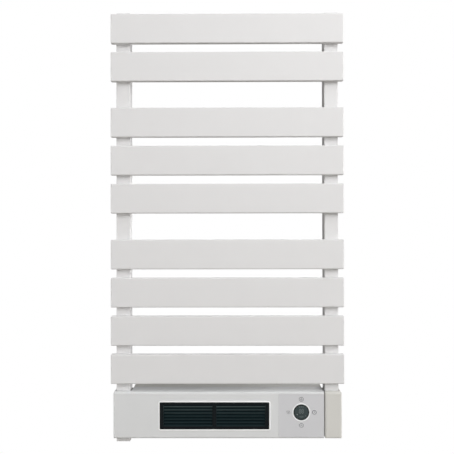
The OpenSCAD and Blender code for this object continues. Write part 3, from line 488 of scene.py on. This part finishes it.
def weld_tree():
    """Lays a rippled weld bead round a rounded rectangle in the XZ plane at every point."""
    size = "NodeSocketFloat"
    sizes = {"Half Width": (size, 10 * MM), "Half Height": (size, 10 * MM), "Corner": (size, 2 * MM),
             "Bead": (size, 1 * MM), "Ripple": (size, 3 * MM), "Ripple Share": (size, 0.1)}
    tree, given = new_tree("weld_beads", {**sizes, "Material": ("NodeSocketMaterial", None)})
    frame_line = add_node(tree, "GeometryNodeCurvePrimitiveQuadrilateral",
                          Width=arithmetic(tree, "MULTIPLY", given["Half Width"], 2.0),
                          Height=arithmetic(tree, "MULTIPLY", given["Half Height"], 2.0))
    rounded = add_node(tree, "GeometryNodeFilletCurve", {"Count": BEAD_CORNER_STEPS}, {"mode": "POLY"},
                       Curve=frame_line.outputs["Curve"], Radius=given["Corner"])
    steps = add_node(tree, "GeometryNodeResampleCurve", {}, {"mode": "LENGTH"},
                     Curve=rounded.outputs["Curve"],
                     Length=arithmetic(tree, "DIVIDE", given["Ripple"], STEPS_PER_RIPPLE))
    along = tree.nodes.new("GeometryNodeSplineParameter").outputs["Length"]
    phase = arithmetic(tree, "DIVIDE", arithmetic(tree, "MULTIPLY", along, 2 * math.pi), given["Ripple"])
    wave = arithmetic(tree, "MULTIPLY", arithmetic(tree, "SINE", phase), given["Ripple Share"])
    section = add_node(tree, "GeometryNodeCurvePrimitiveCircle", {"Resolution": BEAD_SIDES},
                       Radius=given["Bead"])
    bead = add_node(tree, "GeometryNodeCurveToMesh", Curve=steps.outputs["Curve"],
                    Profile_Curve=section.outputs["Curve"], Scale=arithmetic(tree, "ADD", wave, 1.0))
    upright = add_node(tree, "GeometryNodeTransform", {"Rotation": (math.pi / 2, 0, 0)},
                       Geometry=bead.outputs["Mesh"])
    copies = add_node(tree, "GeometryNodeInstanceOnPoints", Points=given["Geometry"],
                      Instance=upright.outputs["Geometry"])
    end_tree(tree, copies.outputs["Instances"], given["Material"])
    return tree


def print_tree():
    """Turns drawn lines in the XY plane into thin printed strokes in the XZ plane, set at a place."""
    tree, given = new_tree("printed_lines", {"Width": ("NodeSocketFloat", 1 * MM),
                                             "Thickness": ("NodeSocketFloat", 0.1 * MM),
                                             "Place": ("NodeSocketVector", None),
                                             "Material": ("NodeSocketMaterial", None)})
    line = add_node(tree, "GeometryNodeMeshToCurve", Mesh=given["Geometry"])
    level = add_node(tree, "GeometryNodeSetCurveNormal", {}, {"mode": "Z_UP"}, Curve=line.outputs["Curve"])
    section = add_node(tree, "GeometryNodeCurvePrimitiveQuadrilateral", Width=given["Width"],
                       Height=given["Thickness"])
    stroke = add_node(tree, "GeometryNodeCurveToMesh", {"Fill Caps": True}, Curve=level.outputs["Curve"],
                      Profile_Curve=section.outputs["Curve"])
    placed = add_node(tree, "GeometryNodeTransform", {"Rotation": (math.pi / 2, 0, 0)},
                      Geometry=stroke.outputs["Mesh"], Translation=given["Place"])
    end_tree(tree, placed.outputs["Geometry"], given["Material"])
    return tree


# Welds between slats and posts, and round the lugs on the posts

def centre_of(node):
    """The middle of a node's box."""
    node_low, node_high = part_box(node)
    return (node_low + node_high) / 2


SLAT_BEAD = 1.25 * MM
LUG_BEAD = 1.5 * MM
RIPPLE = 3.2 * MM
RIPPLE_SHARE = 0.12
WELD_CORNER = 2 * MM
WELD_IN_X, WELD_IN_Z = 1.2 * MM, 1.6 * MM
LUG_RADIUS = 9 * MM
LUG_WELD_RADIUS = LUG_RADIUS + 0.3 * MM
WELD_SHARP_ABOVE = 80
post_low, post_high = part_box("right_post")
slat_back = slat_high[1]
post_centre_x = centre_of("right_post")[0]
post_half_w = (post_high[0] - post_low[0]) / 2
slat_half_h = (slat_high[2] - slat_low[2]) / 2
slat_heights = [centre_of("slat_%d" % n)[2] for n in range(1, 10)]
beads = weld_tree()
slat_joints = [(side * post_centre_x, slat_back, z) for z in slat_heights for side in (-1, 1)]
grown("slat_welds", mesh_of("slat_joints", slat_joints), beads,
      {"Half Width": post_half_w - WELD_IN_X, "Half Height": slat_half_h - WELD_IN_Z, "Corner": WELD_CORNER,
       "Bead": SLAT_BEAD, "Ripple": RIPPLE, "Ripple Share": RIPPLE_SHARE, "Material": white_coat},
      sharp_above=WELD_SHARP_ABOVE)
lug_low, lug_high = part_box("post_lugs")
lug_joints = [(x, lug_low[1], z) for x in (lug_low[0] + LUG_RADIUS, lug_high[0] - LUG_RADIUS)
              for z in (lug_low[2] + LUG_RADIUS, lug_high[2] - LUG_RADIUS)]
grown("lug_welds", mesh_of("lug_joints", lug_joints), beads,
      {"Half Width": LUG_WELD_RADIUS, "Half Height": LUG_WELD_RADIUS, "Corner": LUG_WELD_RADIUS,
       "Bead": LUG_BEAD, "Ripple": RIPPLE, "Ripple Share": RIPPLE_SHARE, "Material": white_coat},
      sharp_above=WELD_SHARP_ABOVE)


# Screws, nuts and studs

def kept_aside(name, mesh):
    """A fastener's own object, which only the scatter tree reads. It is removed once its copies are made."""
    holder = bpy.data.objects.new(name, mesh)
    bpy.context.scene.collection.objects.link(holder)
    return holder


def cross_outline(reach, half_width, y):
    """The twelve corners of a cross recess, in the same turning order as ring()."""
    corner = [(half_width, reach), (half_width, half_width), (reach, half_width)]
    points = []
    for quarter in range(4):
        a = -quarter * math.pi / 2
        for x, z in corner:
            points.append((x * math.cos(a) - z * math.sin(a), y, x * math.sin(a) + z * math.cos(a)))
    return points


# Shares of the head's radius and thickness: its profile, and the recess's reach, half width and height
HEAD_PROFILE = ((1, 0), (1, 0.42), (0.93, 0.74), (0.8, 0.92), (0.64, 1))
RECESS_TOP = (0.53, 0.13, 1)
RECESS_FLOOR = (0.30, 0.08, 0.30)
CROSS_CORNERS = 12
THREAD_ROOT = 0.78
THREAD_TIP = 0.3
PITCH_SHARE = 0.42


def cross_screw(head_d, head_t, shank_d, shank_len):
    """A pan-head screw along Y: a domed head with a tapered cross recess, over a threaded shank."""
    head_r, shank_r = head_d / 2, shank_d / 2
    root_r = THREAD_ROOT * shank_r
    count = 2 * CROSS_CORNERS
    rings = [ring(THREAD_TIP * shank_r, -shank_len, count)]
    pitch = PITCH_SHARE * shank_d
    turns = int((shank_len - 2 * shank_r) / pitch)
    for k in range(turns):
        y = -shank_len + shank_r + k * pitch
        rings += [ring(root_r, y, count), ring(shank_r, y + pitch / 2, count)]
    rings += [ring(root_r, -shank_r / 2, count), ring(root_r, 0, count)]
    rings += [ring(r * head_r, y * head_t, count) for r, y in HEAD_PROFILE]
    points, faces = loft(rings, close_end=False)
    rim = len(points) - count
    top = len(points)
    for reach, half_width, y in (RECESS_TOP, RECESS_FLOOR):
        points += cross_outline(reach * head_r, half_width * head_r, y * head_t)
    bottom = top + CROSS_CORNERS
    for k in range(CROSS_CORNERS):
        after = (k + 1) % CROSS_CORNERS
        on_rim = [rim + (2 * k + step) % count for step in range(3)]
        faces.append((*on_rim, top + after, top + k))
        faces.append((top + k, top + after, bottom + after, bottom + k))
    faces.append(tuple(bottom + k for k in range(CROSS_CORNERS)))
    return points, faces


NUT_CHAMFER_FROM = 0.97
NUT_CHAMFER_SLOPE = math.tan(math.radians(30))
NUT_BEVEL = 0.35 * MM


def hex_nut(across, thickness, hole_d):
    """A hexagon nut along Y with its corners chamfered on both faces."""
    count = 48
    inner = across / 2
    flat_r = NUT_CHAMFER_FROM * inner
    angles = [2 * math.pi * k / count for k in range(count)]
    reach = [inner / math.cos((a + math.pi / 6) % (math.pi / 3) - math.pi / 6) for a in angles]
    hole_r = hole_d / 2

    def outline(radii, heights):
        """Points round the Y axis whose radius and height change with the angle."""
        return [(r * math.sin(a), y, r * math.cos(a)) for r, a, y in zip(radii, angles, heights)]

    drop = [(r - flat_r) * NUT_CHAMFER_SLOPE for r in reach]
    rings = [ring(hole_r, NUT_BEVEL, count), ring(hole_r + NUT_BEVEL, 0, count), ring(flat_r, 0, count),
             outline(reach, drop), outline(reach, [thickness - d for d in drop]),
             ring(flat_r, thickness, count), ring(hole_r + NUT_BEVEL, thickness, count),
             ring(hole_r, thickness - NUT_BEVEL, count)]
    points, faces = loft(rings, close_start=False, close_end=False)
    last = len(points) - count
    faces += [(last + k, last + (k + 1) % count, (k + 1) % count, k) for k in range(count)]
    return points, faces


THREAD_DEPTH_SHARE = 0.3
STUD_CHAMFER = 0.7 * MM
STUD_CHAMFER_SLOPE = 0.8


def threaded_stud(diameter, length, pitch):
    """A stud along Y with a helical thread and a chamfered end."""
    count, per_turn = 20, 8
    depth = THREAD_DEPTH_SHARE * pitch
    rings = []
    steps = int(length / pitch * per_turn)
    for n in range(steps + 1):
        y = length * n / steps
        end = max(0.0, y - (length - STUD_CHAMFER))
        points = []
        for k in range(count):
            a = 2 * math.pi * k / count
            ridge = 0.5 + 0.5 * math.cos(2 * math.pi * y / pitch - a)
            r = diameter / 2 - depth * (1 - ridge) - end * STUD_CHAMFER_SLOPE
            points.append((r * math.sin(a), y, r * math.cos(a)))
        rings.append(points)
    return loft(rings)


def scatter(name, shape, seeds, finish, stands_for, seed, sharp_above=SHARP_ABOVE):
    """One piece made of copies of a shape on points, standing for a CAD node."""
    holder = kept_aside(name + "_shape", mesh_of(name + "_shape", *shape))
    grown(name, mesh_of(name + "_seeds", seeds), fasteners,
          {"Fastener": holder, "Seed": seed, "Material": finish},
          stands_for=(stands_for,), sharp_above=sharp_above)
    bpy.data.objects.remove(holder)


fasteners = scatter_tree()
bare_steel = metals["zinc_plated_steel"]
# Head, shank, stud and nut sizes, the same as those of the plain fasteners that these stand for
HEAD_D, HEAD_T, SCREW_D = 6 * MM, 2 * MM, 3 * MM
STUD_D, STUD_PITCH = 5 * MM, 0.8 * MM
NUT_ACROSS, NUT_T = 8 * MM, 4 * MM
grille_centre = centre_of("outlet_grille")


def spots(node, radius, middle=()):
    """X places and Z places of the outermost round pieces in a node, with any between them."""
    node_low, node_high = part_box(node)
    xs = sorted({round(x, 6) for x in (node_low[0] + radius, node_high[0] - radius, *middle)})
    zs = sorted({round(z, 6) for z in (node_low[2] + radius, node_high[2] - radius)})
    return xs, zs


# Nodes of cross-head screws, with the X places between the outermost ones and the seed of their turning
SCREW_ROWS = (("case_screws", (grille_centre[0],), 3), ("cover_screws", (), 5), ("grille_screws", (), 8))
for node, middle, seed in SCREW_ROWS:
    xs, zs = spots(node, HEAD_D / 2, middle)
    node_low, node_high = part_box(node)
    head_y = node_high[1] - HEAD_T
    scatter("cross_" + node, cross_screw(HEAD_D, HEAD_T, SCREW_D, head_y - node_low[1]),
            [(x, head_y, z) for x in xs for z in zs], bare_steel, node, seed)
xs, zs = spots("weld_studs", STUD_D / 2)
stud_low, stud_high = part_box("weld_studs")
scatter("threaded_studs", threaded_stud(STUD_D, stud_high[1] - stud_low[1], STUD_PITCH),
        [(x, stud_low[1], z) for x in xs for z in zs], bare_steel, "weld_studs", seed=1, sharp_above=60)
nut_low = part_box("stud_nuts")[0]
scatter("hexagon_nuts", hex_nut(NUT_ACROSS, NUT_T, STUD_D), [(x, nut_low[1], z) for x in xs for z in zs],
        bare_steel, "stud_nuts", seed=4, sharp_above=25)


# Outlet: a seal in the step round the grille, darker than rubber is as painted shade in that gap, and a
# bright crowned trim over the shell's lip

def rounded_walk(half_w, half_h, corner, steps=6):
    """Places round a rectangle with round corners in the XZ plane, each with the way that points outwards."""
    walk = []
    for quarter, (sx, sz) in enumerate(((1, 1), (-1, 1), (-1, -1), (1, -1))):
        for k in range(steps + 1):
            a = math.pi / 2 * (quarter + k / steps)
            out_x, out_z = math.cos(a), math.sin(a)
            walk.append((sx * (half_w - corner) + corner * out_x, sz * (half_h - corner) + corner * out_z,
                         out_x, out_z))
    return walk


def swept_frame(name, centre, walk, section, finish):
    """A closed section swept round a walk. The section holds steps out from the walk and places along Y."""
    rings = [[(centre[0] + x + out * out_x, y, centre[2] + z + out * out_z) for out, y in section]
             for x, z, out_x, out_z in walk]
    points, faces = loft(rings + rings[:1], close_start=False, close_end=False)
    count = len(section)
    last = len(points) - count
    faces = [tuple(p - last if p >= last else p for p in face) for face in faces]
    add_piece(name, mesh_of(name, points[:last], faces), finish)


GRILLE_FLANGE = 4 * MM
OUTLET_CORNER = 1.8 * MM
# Closed sections in mm: how far out from the outlet's edge, and how far behind the shell's face
SEAL_SECTION = ((0.17, 4.9), (0.17, 0.0), (0.0, -0.15), (-0.35, 0.1), (-0.8, 0.55), (-1.4, 0.75),
                (-1.94, 0.8), (-1.94, 4.9))
TRIM_SECTION = ((0.24, 0.4), (0.24, -0.55), (0.5, -0.85), (1.1, -1.0), (2.2, -1.0), (2.9, -0.8), (3.2, -0.4),
                (3.2, 0.4))
shell_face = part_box("control_panel")[0][1]
outlet_low, outlet_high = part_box("outlet_grille")
outlet_walk = rounded_walk((outlet_high[0] - outlet_low[0]) / 2 - GRILLE_FLANGE,
                           (outlet_high[2] - outlet_low[2]) / 2 - GRILLE_FLANGE, OUTLET_CORNER)
ring_white = glossy["ring_white_plastic"]
for name, section, finish, slot in (("grille_seal", SEAL_SECTION, painted_shade_seal, "black_rubber"),
                                    ("outlet_trim", TRIM_SECTION, ring_white, "ring_white")):
    placed = [(out * MM, shell_face + y * MM) for out, y in section]
    swept_frame(name, grille_centre, outlet_walk, placed, finish)


# Display: a paler window inside a dark rim, two unlit seven-segment digits, a row of marks and a small lamp

PRINT_T = 0.08 * MM
PRINT_SUNK = 0.02 * MM
printed = print_tree()


def drawn(name, lines, width, place, finish, body="radiator"):
    """Printed strokes at a place in metres, along lines that are each points in mm and whether they close."""
    points, edges = [], []
    for line, closed in lines:
        start = len(points)
        points += [(x * MM, z * MM, 0) for x, z in line]
        edges += [(start + k, start + k + 1) for k in range(len(line) - 1)]
        if closed:
            edges.append((start + len(line) - 1, start))
    grown(name, mesh_of(name, points, edges=edges), printed,
          {"Width": width, "Thickness": PRINT_T, "Place": place, "Material": finish}, body=body)


def circle_line(radius, x=0.0, z=0.0, start=0, stop=360, count=48):
    """Points in mm along a circle or an arc, in degrees counted from +X towards +Z."""
    whole = stop - start == 360
    steps = count if whole else count + 1
    angles = [math.radians(start + (stop - start) * k / count) for k in range(steps)]
    return [(x + radius * math.cos(a), z + radius * math.sin(a)) for a in angles], whole


def digit_lines(x, z, width, height, gap):
    """The seven segments of one digit whose middle is at x, z."""
    half_w, half_h = width / 2, height / 2
    lines = [([(x - half_w + gap, z + s * half_h), (x + half_w - gap, z + s * half_h)], False)
             for s in (-1, 0, 1)]
    lines += [([(x + s * half_w, z + t * gap), (x + s * half_w, z + t * (half_h - gap))], False)
              for s in (-1, 1) for t in (-1, 1)]
    return lines


# The window in metres, with places along Y from the lens's front
WINDOW_R = 15.9 * MM
WINDOW_BACK, WINDOW_EDGE, WINDOW_FRONT = 0.2 * MM, -0.04 * MM, -0.06 * MM
WINDOW_BEVEL = 0.15 * MM
WINDOW_SIDES = 72
# What is printed on it, in mm from its middle
DIGIT_PLACES = ((-3.0, 2.4), (3.0, 2.4))
DIGIT_WIDTH, DIGIT_HEIGHT, SEGMENT_GAP = 3.9, 9.6, 0.7
MARK_PLACES = ((-4, 12.4), (0, 12.8), (4, 12.4), (-3, -10.6), (0.2, -10.8), (3.4, -10.6), (10.4, -8.6))
MARK_HALF = 0.9
LAMP_LINE = [(-10.4, -5.2), (-9.1, -5.2)]
# Widths of the printed strokes
DIGIT_STROKE, MARK_STROKE, LAMP_STROKE = 1.0 * MM, 1.5 * MM, 1.3 * MM
lens_centre = centre_of("display_lens")
lens_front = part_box("display_lens")[0][1]
window_profile = ((WINDOW_R, WINDOW_BACK), (WINDOW_R, WINDOW_EDGE), (WINDOW_R - WINDOW_BEVEL, WINDOW_FRONT))
window_points, window_faces = loft([ring(radius, y, WINDOW_SIDES) for radius, y in window_profile])
window_points = [(x + lens_centre[0], y + lens_front, z + lens_centre[2]) for x, y, z in window_points]
add_piece("display_window", mesh_of("display_window", window_points, window_faces),
          glossy["display_window_green"])
on_window = (lens_centre[0], lens_front + WINDOW_FRONT - PRINT_T / 2, lens_centre[2])
digits = [line for x, z in DIGIT_PLACES for line in digit_lines(x, z, DIGIT_WIDTH, DIGIT_HEIGHT, SEGMENT_GAP)]
marks = [([(x - MARK_HALF, z), (x + MARK_HALF, z)], False) for x, z in MARK_PLACES]
drawn("display_digits", digits, DIGIT_STROKE, on_window, glossy["unlit_segments"])
drawn("display_marks", marks, MARK_STROKE, on_window, glossy["unlit_segments"])
drawn("display_lamp", [(LAMP_LINE, False)], LAMP_STROKE, on_window, glossy["clear_lamp"])


# Key symbols, printed on the keys

WAVE_STEPS = 16


def wave_line(x, z, height, swing):
    """A rising wavy stroke."""
    shares = [k / WAVE_STEPS for k in range(WAVE_STEPS + 1)]
    return [(x + swing * math.sin(2 * math.pi * t), z + height * (t - 0.5)) for t in shares], False


# Lines in mm round each key's middle, and their width
KEY_SYMBOLS = {
    "power": ([circle_line(4.9), circle_line(1.7, 0, -0.2, 120, 420, 24), ([(0, 0.2), (0, 2.4)], False)],
              0.85),
    "timer": ([circle_line(4.5), ([(0, 2.1), (0, 0), (1.5, 0)], False)], 1.15),
    "heat": ([wave_line(x, 0, height, 0.6) for x, height in ((-3.1, 7.4), (0, 9.0), (3.1, 7.4))], 0.6),
    "boost": ([circle_line(4.5), ([(-1.9, -0.9), (0, 1.1), (1.9, -0.9)], False)], 0.85),
}
for key, (lines, line_width) in KEY_SYMBOLS.items():
    key_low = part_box("key_" + key)[0]
    middle = centre_of("key_" + key)
    on_key = (middle[0], key_low[1] - PRINT_T / 2 + PRINT_SUNK, middle[2])
    drawn("symbol_" + key, lines, line_width * MM, on_key, moulded["symbol_ink"], body=key + "_key")


# Stage: a pale floor well below the hung rail, and soft studio light

AMBIENT = 0.03
FLOOR_DROP = 0.30
FLOOR_HALF = 6.0
FLOOR_WHITE = (0.86, 0.86, 0.86, 1)
FLOOR_BOUNCE = (0.30, 0.28, 0.24, 1)
FADE_FROM, FADE_TO, FADE_LEAST = 0.25, 0.95, 0.35
WHITE = (1, 1, 1, 1)


def seen_or_mirrored(tree):
    """1 on rays from the camera and on those that a surface mirrors or lets through, and 0 on plain light."""
    path = add_node(tree, "ShaderNodeLightPath")
    most = path.outputs["Is Camera Ray"]
    for label in ("Is Glossy Ray", "Is Transmission Ray"):
        most = arithmetic(tree, "MAXIMUM", most, path.outputs[label])
    return most


def white_world():
    """White to the camera and in reflections, and a weak even light on the object."""
    world = bpy.data.worlds.new("studio")
    bpy.context.scene.world = world
    world.use_nodes = True
    tree = world.node_tree
    tree.nodes.clear()
    ambient = add_node(tree, "ShaderNodeBackground", {"Color": WHITE, "Strength": AMBIENT})
    backdrop = add_node(tree, "ShaderNodeBackground", {"Color": WHITE, "Strength": 1.0})
    mix = add_node(tree, "ShaderNodeMixShader", Fac=seen_or_mirrored(tree))
    tree.links.new(ambient.outputs[0], mix.inputs[1])
    tree.links.new(backdrop.outputs[0], mix.inputs[2])
    output = add_node(tree, "ShaderNodeOutputWorld")
    tree.links.new(mix.outputs[0], output.inputs["Surface"])


def floor_material():
    """A pale floor that fades to the white backdrop away from the object and keeps its shadow near it.

    The camera and mirroring surfaces see it so. The light that it gives back has a darker, warmer tone.
    """
    made, tree, shader = new_material("pale_floor")
    shader.inputs["Base Color"].default_value = FLOOR_WHITE
    shader.inputs["Roughness"].default_value = 0.7
    place = add_node(tree, "ShaderNodeTexCoord").outputs["Object"]
    distance = add_node(tree, "ShaderNodeVectorMath", {}, {"operation": "LENGTH"}, Vector=place)
    fade = add_node(tree, "ShaderNodeMapRange",
                    {"From Min": FADE_FROM, "From Max": FADE_TO, "To Min": FADE_LEAST, "To Max": 1.0},
                    Value=distance.outputs["Value"])
    direct = seen_or_mirrored(tree)
    glow = add_node(tree, "ShaderNodeEmission", {"Color": WHITE, "Strength": 1.0})
    glowing = arithmetic(tree, "MULTIPLY", direct, fade.outputs["Result"])
    mix = add_node(tree, "ShaderNodeMixShader", Fac=glowing)
    tree.links.new(shader.outputs[0], mix.inputs[1])
    tree.links.new(glow.outputs[0], mix.inputs[2])
    dim = add_node(tree, "ShaderNodeBsdfDiffuse", {"Color": FLOOR_BOUNCE})
    seen = add_node(tree, "ShaderNodeMixShader", Fac=direct)
    tree.links.new(dim.outputs[0], seen.inputs[1])
    tree.links.new(mix.outputs[0], seen.inputs[2])
    tree.links.new(seen.outputs[0], tree.nodes["Material Output"].inputs["Surface"])
    return made


white_world()
floor_mesh = bpy.data.meshes.new("floor")
floor_z = low[2] - FLOOR_DROP
corners = [(x, y, floor_z) for x, y in ((-1, -1), (1, -1), (1, 1), (-1, 1))]
floor_mesh.from_pydata([(x * FLOOR_HALF, y * FLOOR_HALF, z) for x, y, z in corners], [], [(0, 1, 2, 3)])
floor_mesh.materials.append(floor_material())
floor = bpy.data.objects.new("floor", floor_mesh)
bpy.context.scene.collection.objects.link(floor)


def softbox(name, place, target, width, height, power):
    """A rectangular area lamp at a place, aimed at a target."""
    lamp = bpy.data.lights.new(name, "AREA")
    lamp.shape = "RECTANGLE"
    lamp.size, lamp.size_y, lamp.energy = width, height, power
    holder = bpy.data.objects.new(name, lamp)
    holder.location = place
    aim = Vector(target) - Vector(place)
    holder.rotation_mode = "QUATERNION"
    holder.rotation_quaternion = aim.to_track_quat("-Z", "Y")
    bpy.context.scene.collection.objects.link(holder)


RAIL_MIDDLE = (0, -0.1, 0)
# Each lamp's place in metres, width, height and power in watts
LAMPS = {
    "front_level_light": ((1.10, -4.96, 0.44), 2.2, 2.2, 62),
    "front_high_light": ((0.95, -4.24, 2.65), 2.2, 2.2, 90),
    "top_light": ((0.5, -2.55, 4.33), 2.2, 2.2, 44),
    "right_light": ((4.68, -1.62, 0.87), 2.6, 2.6, 62),
    "right_rear_light": ((4.10, 2.77, 0), 2.6, 2.6, 66),
    "near_light": ((1.08, -1.39, 1.41), 1.2, 1.2, 8.5),
    "low_left_light": ((-0.95, -1.30, -0.42), 0.6, 0.6, 1.8),
    "back_light": ((1.3, 4.9, 0.05), 1.7, 1.7, 60),
    "left_strip_light": ((-5.0, -0.085, 0.3), 0.15, 2.2, 95),
}
for lamp_name, (place, width, height, power) in LAMPS.items():
    softbox(lamp_name, place, RAIL_MIDDLE, width, height, power)
